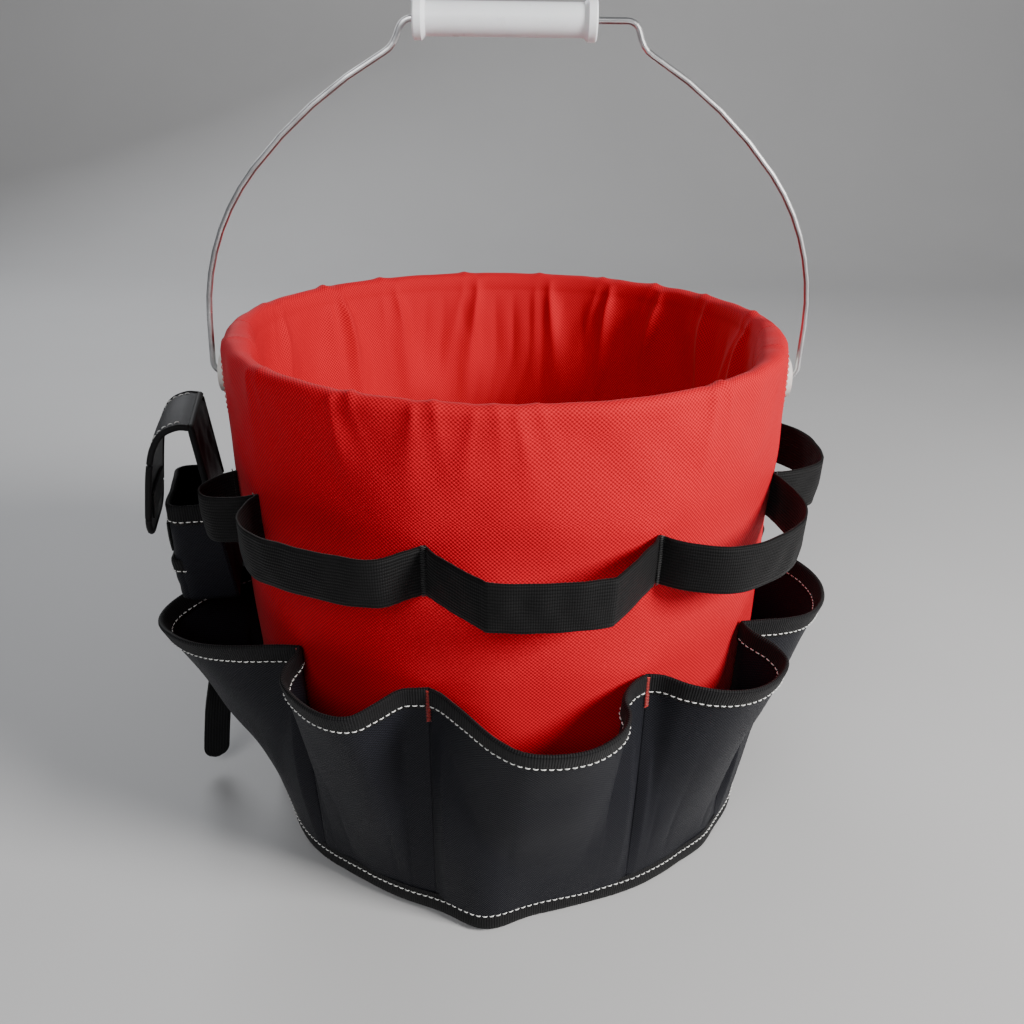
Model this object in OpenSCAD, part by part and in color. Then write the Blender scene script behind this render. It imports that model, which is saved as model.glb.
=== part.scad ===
// Bucket tool organizer: a plastic pail with a wire bail, dressed in a fabric
// skirt with pockets, elastic loops and a flap pouch round the outside.
// Origin: centre of the pail's base, on the floor. +Z is up, and the bail's
// pins lie along X. The side that faces -Y is the front.

/* [Bucket] */
// Height of the pail, from the floor to the top of its lip
bucket_h = 288; // [284:1:292]
// Outer radius of the pail's wall at the lip
bucket_top_r = 149; // [148:0.5:149.5]
// Outer radius of the pail at the floor
bucket_base_r = 132; // [128:1:136]
// Thickness of the pail's wall
bucket_wall = 2.4; // [1.8:0.1:2.8]
// Height of the bail's pins above the floor
pivot_z = 262; // [258:1:264]

/* [Bail] */
// Radius of the bail's steel wire
wire_r = 1.7; // [1.4:0.1:2]
// Distance of each upright of the bail from the middle
bail_x = 166; // [165:0.5:168]
// How far the middle of the bail sits to one side
bail_lean = 5.5; // [0:0.5:8]
// Clearance between the wire and the bores that turn on it
pin_gap = 0.08; // [0.04:0.01:0.1]
// Radius of the plastic hand grip
grip_r = 8.2; // [7:0.1:10]
// Left end of the hand grip, along X
grip_left = -48; // [-54:1:-48]
// Length of the hand grip
grip_len = 92; // [86:1:96]

/* [Skirt] */
// Radius of the fabric skirt at the rim
rim_r = 156; // [156:0.5:158]
// Height where the skirt starts to roll over the lip
rim_z = 285.5; // [285:0.5:287]
// Radius of the skirt at the hem
hem_r = 145; // [144:0.5:147]
// Height of the hem above the floor
hem_z = 5; // [4:0.5:10]
// Thickness of the skirt's cloth with its backing
cloth = 1.5; // [1:0.1:1.6]
// Lowest edge of the lining inside the pail
liner_z = 60; // [40:5:120]

/* [Pockets] */
// Panel length of the outer pockets, from hem to mouth
pocket_len = 142; // [120:1:150]
// Where the first pocket starts, in degrees from +X
pocket_start = -173.5; // [-174:0.5:-173]
// Height of the binding on the pocket mouths
binding_h = 12; // [8:1:16]

/* [Elastic] */
// Width of the elastic band
band_h = 25; // [20:1:30]
// Height of the elastic band's lower edge
band_z = 200; // [195:1:204]

/* [Pouch] */
// Direction that the flap pouch faces, in degrees from +X
pouch_angle = 191; // [190:0.5:192]
// Width of the flap pouch
pouch_w = 62; // [56:1:62]
// Depth of the flap pouch at its mouth
pouch_d = 30; // [26:1:32]

/* [Hidden] */
$fn = 96;
gap = 0.15;                     // between layers that are sewn together
seam = 0.15;                    // half gap between neighbouring panels, in degrees
sewn = 0.035;                   // share of a pocket or loop that is sewn flat at each end
panel_t = 1.2;                  // pocket cloth
trim_t = 1;                     // binding cloth
cols = 14;                      // steps across a pocket or loop
tack_l = 18;
flap_t = 3.4;
pouch_foot = 150;               // lowest edge of the pouch
pouch_mouth = 205;              // its open top
pouch_top = 247;                // top of the panel behind it
lean_foot = 156;                // distance of the back panel from the axis, low
lean_top = 170;                 // and high
small_mouth = 173;
hinge_r = 172.5;
hinge_z = 249.5;
strap_w = 16;
strap_side = 18;                // how far the webbing tail hangs to the side of the pouch's middle
rim_roll = 5.7;
rim_mid = rim_r - rim_roll;
rim_tuck_z = 270;               // where the rolled rim ends inside the pail
slot_r = 16;                    // slot in the skirt that clears the bail's ear
slot_low = 252;                 // centre of the slot's round foot
boss_r = 11;
boss_end = 161;

// width in degrees, stand-off at the mouth, where it stands furthest (0 to 1),
// and the fullness of its left and right sides
POCKETS = [
    [40, 54, 0.32, 1.5, 1.6],
    [30, 34, 0.56, 2.9, 1.3],
    [41.5, 43, 0.54, 1.5, 1.6],
    [30, 37, 0.60, 2.2, 3.0],
    [40, 39, 0.56, 2.1, 2.0],
    [30, 32, 0.50, 2.2, 2.2],
    [40, 42, 0.46, 1.8, 2.2],
    [40, 38, 0.55, 2.2, 1.8],
    [38.5, 40, 0.50, 2.0, 2.0],
    [30, 30, 0.50, 2.2, 2.2],
];

// from anchor to anchor in degrees, and how far each loop stands off
LOOPS = [
    [-157.5, -143.5, 22],
    [-143.5, -103.5, 26],
    [-103.5, -62, 28],
    [-62, -20.5, 29],
    [-20.5, 20, 27],
    [20, 60, 24],
    [60, 100, 26],
    [100, 140, 24],
    [140, 177.5, 22],
];

// ---------- shared measures ----------

// outer radius of the skirt at height z
function skirt_r(z) = hem_r + (rim_r - hem_r) * (z - hem_z) / (rim_z - hem_z);

// outer radius of the pail's wall at height z
function bucket_r(z) = bucket_base_r + (bucket_top_r - bucket_base_r) * z / bucket_h;

function inner_r(z) = bucket_r(z) - bucket_wall;

function polar(r, a, z) = [r * cos(a), r * sin(a), z];

// angle where pocket i starts
function pocket_angle(i) = i == 0 ? pocket_start : pocket_angle(i - 1) + POCKETS[i - 1][0];

// 0 along the sewn ends, 1 at the peak, fuller with a higher power on each side
function swell(s, peak, left, right) =
    s <= sewn || s >= 1 - sewn ? 0
    : s < peak ? 1 - pow((peak - s) / (peak - sewn), left)
    : 1 - pow((s - peak) / (1 - sewn - peak), right);

// steps across a pocket or loop: its ends, and an even row between the sewn strips
steps_across = concat([0], [for (k = [0:cols]) sewn + (1 - 2 * sewn) * k / cols], [1]);

// share of the mouth's stand-off at t of the way up a pocket
function rise(t) = t < 0.12 ? 0 : pow((t - 0.12) / 0.88, 1.15);

// point of pocket i at s across and t up, proud of the cloth by extra
function pocket_point(i, s, t, extra) =
    let (
        p = POCKETS[i],
        off = p[1] * swell(s, p[2], p[3], p[4]) * rise(t),
        run = pocket_len * t,
        z = hem_z + sqrt(run * run - off * off),
        a = pocket_angle(i) + seam + (p[0] - 2 * seam) * s
    ) polar(skirt_r(z) + gap + off + extra, a, z);

// ---------- shapes that repeat ----------

// closed solid between two grids of points with the same rows and columns
module between(outer, inner) {
    rows = len(outer);
    n_cols = len(outer[0]);
    n = rows * n_cols;
    points = [for (grid = [outer, inner]) for (row = grid) for (p = row) p];
    function id(side, i, j) = side * n + i * n_cols + j;
    function quad(a, b, c, d) = [[a, b, c], [a, c, d]];
    faces = concat(
        [for (i = [0:rows - 2]) for (j = [0:n_cols - 2])
            for (f = quad(id(0, i, j), id(0, i + 1, j), id(0, i + 1, j + 1), id(0, i, j + 1))) f],
        [for (i = [0:rows - 2]) for (j = [0:n_cols - 2])
            for (f = quad(id(1, i, j), id(1, i, j + 1), id(1, i + 1, j + 1), id(1, i + 1, j))) f],
        [for (j = [0:n_cols - 2])
            for (f = quad(id(0, 0, j), id(0, 0, j + 1), id(1, 0, j + 1), id(1, 0, j))) f],
        [for (j = [0:n_cols - 2])
            for (f = quad(id(0, rows - 1, j + 1), id(0, rows - 1, j),
                id(1, rows - 1, j), id(1, rows - 1, j + 1))) f],
        [for (i = [0:rows - 2])
            for (f = quad(id(0, i + 1, 0), id(0, i, 0), id(1, i, 0), id(1, i + 1, 0))) f],
        [for (i = [0:rows - 2])
            for (f = quad(id(0, i, n_cols - 1), id(0, i + 1, n_cols - 1),
                id(1, i + 1, n_cols - 1), id(1, i, n_cols - 1))) f]
    );
    polyhedron(points = points, faces = faces, convexity = 6);
}

// part of a turned shell between two angles; children are its 2D profile
module turned(from, to) {
    rotate([0, 0, from]) rotate_extrude(angle = to - from, $fn = 180) children();
}

// opening in the skirt round one ear of the pail
module ear_slot(grow) {
    for (side = [0, 180])
        rotate([0, 0, side]) translate([120, 0, 0]) rotate([0, 90, 0]) rotate([0, 0, 180])
            linear_extrude(60) {
                for (z = [slot_low, pivot_z]) translate([z, 0]) circle(r = slot_r + grow);
                translate([slot_low, -slot_r - grow])
                    square([pivot_z - slot_low, 2 * (slot_r + grow)]);
            }
}

// moves children out to the pouch's side of the skirt; local +X points outwards
module at_pouch() {
    rotate([0, 0, pouch_angle]) children();
}

// everything inside the skirt's outer face, grown by a gap
module inside_skirt(grow) {
    translate([0, 0, hem_z])
        cylinder(r1 = hem_r + grow, r2 = rim_r + grow, h = rim_z - hem_z, $fn = 180);
}

// ---------- pail and bail ----------

module bucket_profile() {
    polygon([
        [0, 0], [bucket_base_r - 2, 0], [bucket_r(2), 2],
        [bucket_r(240), 240], [bucket_r(240) + 3, 240.6], [bucket_r(243) + 3, 243], [bucket_r(243), 243.6],
        [bucket_r(280), 280], [153, 281], [153, 287], [152, bucket_h],
        [inner_r(bucket_h) + 1, bucket_h], [inner_r(286), 286.5],
        [inner_r(8), 8], [inner_r(5) - 3, 5], [0, 5],
    ]);
}

module bucket_shell() color("ivory") {
    difference() {
        union() {
            rotate_extrude($fn = 180) bucket_profile();
            for (side = [0, 180]) rotate([0, 0, side]) {
                translate([146.4, 0, pivot_z]) rotate([0, 90, 0])
                    cylinder(r = boss_r, h = boss_end - 146.4);
                translate([146.4, -1.5, pivot_z - 14]) cube([9, 3, 28]);
            }
        }
        for (side = [0, 180]) rotate([0, 0, side])
            translate([151, 0, pivot_z]) rotate([0, 90, 0])
                cylinder(r = wire_r + pin_gap, h = 20);
    }
}

function aim(a) = [cos(a), sin(a)];

// points along a bend about a centre in the bail's plane, [x, z]
function bend(centre, radius, from, to, steps) =
    [for (k = [0:steps]) centre + radius * aim(from + (to - from) * k / steps)];

// the bail's half outline: elbow, upright, shoulder, long bow and a dip beside the grip
elbow_r = 6;
shoulder_r = 124;
shoulder_z = 292.5;
bow_r = 245;
dip_r = 14;
bow_from = 40;
bow_to = 61;
dip_to = 20;
end_r = 7;
shoulder_c = [bail_x - shoulder_r, shoulder_z];
bow_c = shoulder_c - (bow_r - shoulder_r) * aim(bow_from);
dip_c = bow_c + (bow_r + dip_r) * aim(bow_to);
dip_end = dip_c - dip_r * aim(dip_to);
end_c = dip_end + 4 * aim(dip_to + 90) - end_r * aim(dip_to);
grip_z = end_c[1] + end_r;
bail_path = concat(
    [[bail_x - elbow_r - 3, pivot_z]],
    bend([bail_x - elbow_r, pivot_z + elbow_r], elbow_r, -90, 0, 6),
    bend(shoulder_c, shoulder_r, 0, bow_from, 7),
    bend(bow_c, bow_r, bow_from, bow_to, 4),
    bend(dip_c, dip_r, bow_to + 180, dip_to + 180, 3),
    bend(end_c, end_r, dip_to, 90, 5),
    [[end_c[0] - 3, grip_z]]
);

// the wire has play in its ears, so its top sits a little to one side
function leaning(path, side) =
    [for (p = path) [p[0] + side * bail_lean * (p[1] - pivot_z) / (grip_z - pivot_z), p[1]]];

// round wire along a path in the bail's plane
module swept_wire(path, radius) {
    sides = 12;
    last = len(path) - 1;
    function ring(k) =
        let (
            ahead = path[min(k + 1, last)] - path[max(k - 1, 0)],
            along = ahead / norm(ahead)
        ) [for (j = [0:sides - 1])
            let (c = radius * cos(360 * j / sides), d = radius * sin(360 * j / sides))
                [path[k][0] - c * along[1], d, path[k][1] + c * along[0]]];
    points = [for (k = [0:last]) for (p = ring(k)) p];
    faces = concat(
        [[for (j = [sides - 1:-1:0]) j], [for (j = [0:sides - 1]) last * sides + j]],
        [for (k = [0:last - 1]) for (j = [0:sides - 1])
            let (a = k * sides + j, b = k * sides + (j + 1) % sides)
                for (f = [[a, b, a + sides], [b, b + sides, a + sides]]) f]
    );
    polyhedron(points = points, faces = faces, convexity = 6);
}

module bail_wire() color("silver") {
    for (side = [1, -1]) rotate([0, 0, 90 - 90 * side]) {
        swept_wire(leaning(bail_path, side), wire_r - 0.04);
        translate([152, 0, pivot_z]) rotate([0, 90, 0])
            cylinder(r = wire_r, h = bail_x - elbow_r - 152);
    }
    translate([bail_lean - end_c[0], 0, grip_z]) rotate([0, 90, 0])
        cylinder(r = wire_r, h = 2 * end_c[0]);
}

module bail_grip() color("white") {
    translate([grip_left, 0, grip_z]) rotate([0, 90, 0]) rotate_extrude() difference() {
        polygon([
            [0, 0], [grip_r + 1.4, 0], [grip_r + 2, 0.8], [grip_r + 2, 4.4], [grip_r, 6.5],
            [grip_r, grip_len - 6.5], [grip_r + 2, grip_len - 4.4],
            [grip_r + 2, grip_len - 0.8], [grip_r + 1.4, grip_len], [0, grip_len],
        ]);
        translate([0, -1]) square([wire_r + pin_gap, grip_len + 2]);
    }
}

// ---------- skirt and lining ----------

// cloth over the lip: outer face up, over the roll and down inside
module skirt_profile() {
    steps = 10;
    polygon(concat(
        [[hem_r, hem_z]],
        [for (k = [0:steps]) [rim_mid + rim_roll * cos(180 * k / steps),
            rim_z + rim_roll * sin(180 * k / steps)]],
        [[rim_mid - rim_roll - 0.7, rim_tuck_z], [rim_mid - rim_roll - 0.7 + cloth, rim_tuck_z]],
        [for (k = [steps:-1:0]) [rim_mid + (rim_roll - cloth) * cos(180 * k / steps),
            rim_z + (rim_roll - cloth) * sin(180 * k / steps)]],
        [[hem_r - cloth, hem_z]]
    ));
}

module skirt(from) color("red") {
    difference() {
        turned(from + seam, from + 180 - seam) skirt_profile();
        ear_slot(0);
    }
}

module skirt_front() skirt(-180);

module skirt_back() skirt(0);

module liner(from) color("firebrick") {
    top = rim_tuck_z - 1.5;
    turned(from + seam, from + 180 - seam) polygon([
        [inner_r(liner_z) - 1, liner_z], [inner_r(top) - 1, top],
        [inner_r(top) - 2.2, top], [inner_r(liner_z) - 2.2, liner_z],
    ]);
}

module liner_front() liner(-180);

module liner_back() liner(0);

module slot_hems() color("firebrick") {
    difference() {
        intersection() {
            turned(-180, 180) polygon([
                [skirt_r(220) + gap, 220], [skirt_r(284) + gap, 284],
                [skirt_r(284) + gap + 0.8, 284], [skirt_r(220) + gap + 0.8, 220],
            ]);
            ear_slot(5);
        }
        ear_slot(0);
    }
}

module hem_binding() color("black") {
    top = hem_z + 0.08 * pocket_len;
    low = hem_z - 1.2;
    reach = gap + panel_t + 0.1;
    turned(0, 360) polygon([
        [hem_r - cloth, low], [hem_r + reach + trim_t, low], [skirt_r(top) + reach + trim_t, top],
        [skirt_r(top) + reach, top], [hem_r + reach, hem_z - 0.1], [hem_r - cloth, hem_z - 0.1],
    ]);
}

// ---------- pockets ----------

function pocket_grid(i, levels, extra) = [
    for (t = levels) [for (s = steps_across) pocket_point(i, s, t, extra)]
];

module pocket(i) color("darkslategray") {
    levels = [0, 0.12, 0.34, 0.56, 0.76, 1 - binding_h / pocket_len, 1];
    between(pocket_grid(i, levels, panel_t), pocket_grid(i, levels, 0));
}

module pocket_binding(i) color("black") {
    levels = [1 - binding_h / pocket_len, 1];
    base = panel_t + 0.1;
    between(pocket_grid(i, levels, base + trim_t), pocket_grid(i, levels, base));
}

module pocket_bartacks() color("red") {
    reach = gap + panel_t + 0.1 + trim_t + 0.1;
    for (i = [0:len(POCKETS) - 1])
        rotate([0, 0, pocket_angle(i)])
            translate([skirt_r(hem_z + pocket_len) + reach, -1, hem_z + pocket_len - tack_l])
                cube([0.8, 2, tack_l]);
}

// ---------- elastic ----------

// one edge of elastic loop i, proud of the skirt by extra, at height z
function loop_edge(i, extra, z) =
    let (loop = LOOPS[i], turn = loop[1] - loop[0] - 2 * seam)
        [for (s = steps_across)
            let (off = loop[2] * swell(s, 0.5, 2.6, 2.6) + gap + extra)
                polar(skirt_r(z) + off, loop[0] + seam + turn * s, z)];

module elastic_loop(i) color("dimgray") {
    top = band_z + band_h;
    between([loop_edge(i, trim_t, band_z), loop_edge(i, trim_t, top)],
        [loop_edge(i, 0, band_z), loop_edge(i, 0, top)]);
}

module elastic_bartacks() color("black") {
    reach = gap + trim_t + 0.1;
    anchors = concat([for (loop = LOOPS) loop[0]], [LOOPS[len(LOOPS) - 1][1]]);
    for (a = anchors)
        rotate([0, 0, a])
            translate([skirt_r(band_z + band_h) + reach, -1, band_z])
                cube([0.8, 2, band_h]);
}

// ---------- flap pouch ----------

function lean(z) = lean_foot + (lean_top - lean_foot) * (z - pouch_foot) / (pouch_top - pouch_foot);

// slab that spans the pouch's width; children are its outline in distance and height
module pouch_slab(width) {
    at_pouch() translate([0, width / 2, 0]) rotate([90, 0, 0]) linear_extrude(width) children();
}

module pouch_back() color("black") {
    pouch_slab(pouch_w) polygon([
        [lean(pouch_foot), pouch_foot], [lean(pouch_foot) + 1.8, pouch_foot],
        [lean(pouch_top) + 1.8, pouch_top], [lean(pouch_top), pouch_top],
    ]);
    // web that sews the panel to the skirt
    difference() {
        pouch_slab(pouch_w - 8) polygon([
            [hem_r, 196], [lean(196), 196], [lean(200), 200], [hem_r, 200],
        ]);
        inside_skirt(gap);
    }
}

module pouch_body() color("darkslategray") {
    front_low = lean(pouch_foot) + 2 + pouch_d - 4;
    front_high = lean(pouch_mouth) + 2 + pouch_d - 8;
    difference() {
        pouch_slab(pouch_w) polygon([
            [lean(pouch_foot) + 1.95, pouch_foot], [front_low, pouch_foot],
            [front_high, pouch_mouth], [lean(pouch_mouth) + 1.95, pouch_mouth],
        ]);
        pouch_slab(pouch_w - 2.8) polygon([
            [lean(pouch_foot), pouch_foot + 2], [front_low - 1.4, pouch_foot + 2],
            [front_high - 1.4, pouch_mouth + 1], [lean(pouch_mouth), pouch_mouth + 1],
        ]);
    }
}

module pouch_front_pocket() color("black") {
    face = lean(pouch_foot) + pouch_d - 2;
    slope = (lean(pouch_mouth) + pouch_d - 6 - face) / (pouch_mouth - pouch_foot);
    lip = face + slope * (small_mouth - pouch_foot);
    difference() {
        pouch_slab(pouch_w - 2) polygon([
            [face + 0.15, pouch_foot], [face + 5, pouch_foot],
            [lip + 5, small_mouth], [lip + 0.15, small_mouth],
        ]);
        pouch_slab(pouch_w - 5) polygon([
            [face - 0.2, pouch_foot + 1.6], [face + 3.6, pouch_foot + 1.6],
            [lip + 3.6, small_mouth + 1], [lip - 0.2, small_mouth + 1],
        ]);
    }
}

module pouch_binding() color("black") {
    high = lean(pouch_mouth) + pouch_d - 6;
    pouch_slab(pouch_w - 2) polygon([
        [high + 0.1, pouch_mouth - 9], [high + 1.1, pouch_mouth - 9],
        [high + 1.1, pouch_mouth], [high + 0.1, pouch_mouth],
    ]);
}

module pouch_loop_patch() color("dimgray") {
    high = lean(pouch_mouth) + pouch_d - 6;
    pouch_slab(pouch_w - 16) polygon([
        [high + 0.1, 177], [high + 1.6, 177], [high + 1.6, 194], [high + 0.1, 194],
    ]);
}

// centre line of the flap: out from the hinge, over, and down in front
function flap_path() = concat(
    [[hinge_r, hinge_z]],
    [for (a = [80:-20:0]) [hinge_r + 4 + 18 * cos(a), hinge_z - 18 + 18 * sin(a) + 1]],
    [[197, 215], [199.5, 190]]
);

module pouch_flap() color("black") {
    path = flap_path();
    intersection() {
        pouch_slab(pouch_w - 2) union() {
            for (k = [0:len(path) - 2]) {
                step = path[k + 1] - path[k];
                turn = atan2(step[1], step[0]);
                translate(path[k]) rotate([0, 0, turn])
                    translate([0, -flap_t / 2]) square([norm(step), flap_t]);
                translate(path[k + 1]) circle(d = flap_t, $fn = 24);
            }
            translate(path[0]) circle(d = flap_t, $fn = 24);
        }
        // rounded free end
        at_pouch() rotate([90, 0, 90]) linear_extrude(230) {
            translate([-pouch_w / 2, 186 + 16]) square([pouch_w, 60]);
            for (side = [-1, 1])
                translate([side * (pouch_w / 2 - 17), 186 + 16]) circle(r = 16);
            translate([-pouch_w / 2 + 17, 186]) square([pouch_w - 34, 20]);
        }
    }
}

module flap_hook_patch() color("dimgray") {
    pouch_slab(pouch_w - 22) polygon([
        [195.4 - 1.5, 196], [195.4, 196], [194.3, 208], [194.3 - 1.5, 208],
    ]);
}

// ---------- strap at the side ----------

// webbing tail that hangs from the foot of the pouch
module side_strap() color("black") {
    at_pouch() translate([0, -strap_side + strap_w / 2, 0]) rotate([90, 0, 0])
        linear_extrude(strap_w) polygon([
            [171, pouch_foot - 0.1], [169.4, pouch_foot - 0.1], [171, 100], [176, 56], [183, 24],
            [185.5, 3], [187.2, 3], [184.8, 24.5], [177.7, 56.5], [172.7, 100],
        ]);
}

bucket_shell();
bail_wire();
bail_grip();
skirt_front();
skirt_back();
liner_front();
liner_back();
pocket(0);  // pocket_1
pocket(1);  // pocket_2
pocket(2);  // pocket_3
pocket(3);  // pocket_4
pocket(4);  // pocket_5
pocket(5);  // pocket_6
pocket(6);  // pocket_7
pocket(7);  // pocket_8
pocket(8);  // pocket_9
pocket(9);  // pocket_10
pocket_binding(0);  // pocket_binding_1
pocket_binding(1);  // pocket_binding_2
pocket_binding(2);  // pocket_binding_3
pocket_binding(3);  // pocket_binding_4
pocket_binding(4);  // pocket_binding_5
pocket_binding(5);  // pocket_binding_6
pocket_binding(6);  // pocket_binding_7
pocket_binding(7);  // pocket_binding_8
pocket_binding(8);  // pocket_binding_9
pocket_binding(9);  // pocket_binding_10
elastic_loop(0);  // elastic_loop_1
elastic_loop(1);  // elastic_loop_2
elastic_loop(2);  // elastic_loop_3
elastic_loop(3);  // elastic_loop_4
elastic_loop(4);  // elastic_loop_5
elastic_loop(5);  // elastic_loop_6
elastic_loop(6);  // elastic_loop_7
elastic_loop(7);  // elastic_loop_8
elastic_loop(8);  // elastic_loop_9
hem_binding();
pocket_bartacks();
elastic_bartacks();
slot_hems();
pouch_back();
pouch_body();
pouch_front_pocket();
pouch_binding();
pouch_loop_patch();
pouch_flap();
flap_hook_patch();
side_strap();
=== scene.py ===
"""Looks of the bucket tool organizer: cloth, tape, elastic and thread built round the CAD frame."""

import math

import bpy
import numpy as np
from mathutils import Matrix, Vector


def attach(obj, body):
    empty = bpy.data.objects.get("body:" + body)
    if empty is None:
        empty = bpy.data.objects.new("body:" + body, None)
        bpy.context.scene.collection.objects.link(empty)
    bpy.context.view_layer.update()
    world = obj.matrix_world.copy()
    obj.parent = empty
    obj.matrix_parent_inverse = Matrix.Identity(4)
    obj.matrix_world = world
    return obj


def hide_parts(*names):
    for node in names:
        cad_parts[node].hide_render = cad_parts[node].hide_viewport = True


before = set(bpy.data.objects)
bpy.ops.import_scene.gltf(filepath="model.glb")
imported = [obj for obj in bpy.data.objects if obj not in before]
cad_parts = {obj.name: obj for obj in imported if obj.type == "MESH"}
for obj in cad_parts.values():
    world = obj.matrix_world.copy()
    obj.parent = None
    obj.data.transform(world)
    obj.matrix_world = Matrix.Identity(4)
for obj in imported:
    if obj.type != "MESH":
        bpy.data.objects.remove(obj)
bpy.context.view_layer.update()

MM = 0.001
rng = np.random.default_rng(7)

# ---------- driving sizes, in millimetres and degrees ----------

HEM_R, HEM_Z = 145.0, 5.0
RIM_R, RIM_Z = 156.0, 285.5
MEAN_R = 150.0
PAIL_H = 288.0
PANEL_LEN = 142.0
BINDING_H = 10.0
BAND_Z, BAND_H = 200.0, 25.0
TACK_L = 18.0
SLOT_R, SLOT_LOW, SLOT_HIGH = 16.0, 252.0, 262.0
SLOT_SKIRT_R = 155.0
POUCH_ANGLE = 191.0

# mouth of each outer pocket: how far the cloth stands off the skirt at each angle
POCKET_MOUTHS = [
    [(-173.5, 1), (-171, 11), (-167.5, 31), (-164, 47), (-160, 52), (-154, 47), (-148, 38), (-142, 24),
     (-137, 9), (-133.5, 1)],
    [(-133.5, 1), (-131.7, 7), (-130.2, 17), (-127.5, 26), (-122, 32), (-117, 34), (-113, 31), (-110.6, 20),
     (-108.3, 7), (-105.5, 3), (-103.5, 1)],
    [(-103.5, 1), (-100.5, 5), (-96, 16), (-91, 31), (-87, 39.5), (-82, 42), (-77, 40.5), (-72.6, 34),
     (-70.2, 25), (-69.2, 14), (-66, 5), (-62, 1)],
    [(-62, 1), (-59.5, 6), (-57, 18), (-53, 29), (-48, 36), (-43, 37.5), (-38, 34), (-35.6, 24),
     (-34.2, 9), (-32, 1)],
    [(-32, 1), (-29, 10), (-25, 22), (-20, 32), (-13, 38), (-6, 38), (0, 30), (4, 15), (8, 1)],
    [(8, 1), (11, 10), (15, 24), (20, 30), (26, 30), (31, 22), (35, 9), (38, 1)],
    [(38, 1), (42, 10), (48, 31), (54, 40), (61, 39), (68, 28), (73, 12), (78, 1)],
    [(78, 1), (82, 12), (88, 28), (94, 36), (102, 36), (108, 28), (113, 12), (118, 1)],
    [(118, 1), (122, 12), (128, 31), (134, 38), (141, 37), (148, 26), (152, 11), (156.5, 1)],
    [(156.5, 1), (160, 11), (164, 24), (169, 28), (175, 27), (180, 19), (183, 8), (186.5, 1)],
]

# plan of each elastic loop, from anchor to anchor
LOOP_PLANS = [
    [(-157.5, 1), (-156.2, 10), (-153, 21), (-148.5, 21), (-145, 10), (-143.5, 1)],
    [(-143.5, 1), (-141.2, 9), (-137, 20), (-131, 24.5), (-124, 23), (-116, 21), (-109.5, 18), (-106, 7),
     (-103.5, 1)],
    [(-103.5, 1), (-98.5, 12), (-93.2, 25), (-91.5, 28), (-83, 29), (-75.5, 28.5), (-73.8, 26), (-67.5, 11),
     (-62, 1)],
    [(-62, 1), (-58.5, 14), (-53, 26), (-45, 30), (-37, 29), (-31, 22), (-25, 9), (-20.5, 1)],
    [(-20.5, 1), (-16, 13), (-10, 25), (-2, 27), (6, 25), (13, 14), (20, 1)],
    [(20, 1), (25, 13), (32, 22), (40, 24), (48, 22), (55, 12), (60, 1)],
    [(60, 1), (64, 11), (71, 24), (79, 26), (87, 24), (94, 13), (100, 1)],
    [(100, 1), (105, 13), (112, 23), (120, 24), (128, 22), (135, 11), (140, 1)],
    [(140, 1), (145, 12), (152, 21), (159, 22), (166, 20), (172, 11), (177.5, 1)],
]

# where the cloth is gathered along the rim, and how strongly
PLEATS = [
    (-120, 1.0), (-105, 1.0), (-95, 0.6), (-88, 0.6), (-52, 1.1), (-20, 0.4), (10, 0.9), (30, 0.8),
    (46, 1.0), (61, 0.9), (78, 0.8), (98, 1.0), (121, 0.9), (138, 1.5), (160, 0.5), (-168, 0.4),
    (-143, 0.5),
]

# how far the hem stands out from the skirt's cone: angle, distance and width in degrees
HEM_BUMPS = [
    (-156, -5, 14), (-124, -3, 12), (-93, 10, 7), (-70, -1.5, 9), (-38, 2.5, 6), (-20, 4, 12),
    (20, 3, 12), (62, 5, 9), (100, 3, 10), (140, 4, 10),
]


# ---------- small geometry helpers ----------

def skirt_r(z):
    """Outer radius of the fabric skirt at height z."""
    return HEM_R + (RIM_R - HEM_R) * (z - HEM_Z) / (RIM_Z - HEM_Z)


def apart(degrees, angle):
    """Difference between angles, from -180 to 180."""
    return (degrees - angle + 180) % 360 - 180


def base_r(degrees, z):
    """Radius of the skirt with the hem's uneven outline, which fades with height."""
    flare = sum(size * np.exp(-(apart(degrees, angle) / width) ** 2) for angle, size, width in HEM_BUMPS)
    return skirt_r(z) + flare * np.exp(-(z - HEM_Z) / 70.0)


def polar(r, degrees, z):
    """Point array from radius, angle and height, in millimetres."""
    a = np.radians(degrees)
    r, a, z = np.broadcast_arrays(r, a, z)
    return np.stack([r * np.cos(a), r * np.sin(a), z], axis=-1).astype(float)


def smooth_line(points, count):
    """Smooth curve through given points, as count points evenly spaced along it."""
    p = np.array(points, float)
    p = np.vstack([2 * p[0] - p[1], p, 2 * p[-1] - p[-2]])
    dense = []
    for k in range(1, len(p) - 2):
        for u in np.linspace(0, 1, 24, endpoint=False):
            a, b, c, d = p[k - 1], p[k], p[k + 1], p[k + 2]
            dense.append(0.5 * (2 * b + (c - a) * u + (2 * a - 5 * b + 4 * c - d) * u**2
                                + (3 * b - a - 3 * c + d) * u**3))
    dense.append(p[-2])
    return resample(np.array(dense), count)


def resample(line, count):
    """count points evenly spaced along a polyline."""
    along = np.concatenate([[0], np.cumsum(np.linalg.norm(np.diff(line, axis=0), axis=1))])
    want = np.linspace(0, along[-1], count)
    return np.stack([np.interp(want, along, line[:, k]) for k in range(line.shape[1])], axis=-1)


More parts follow.
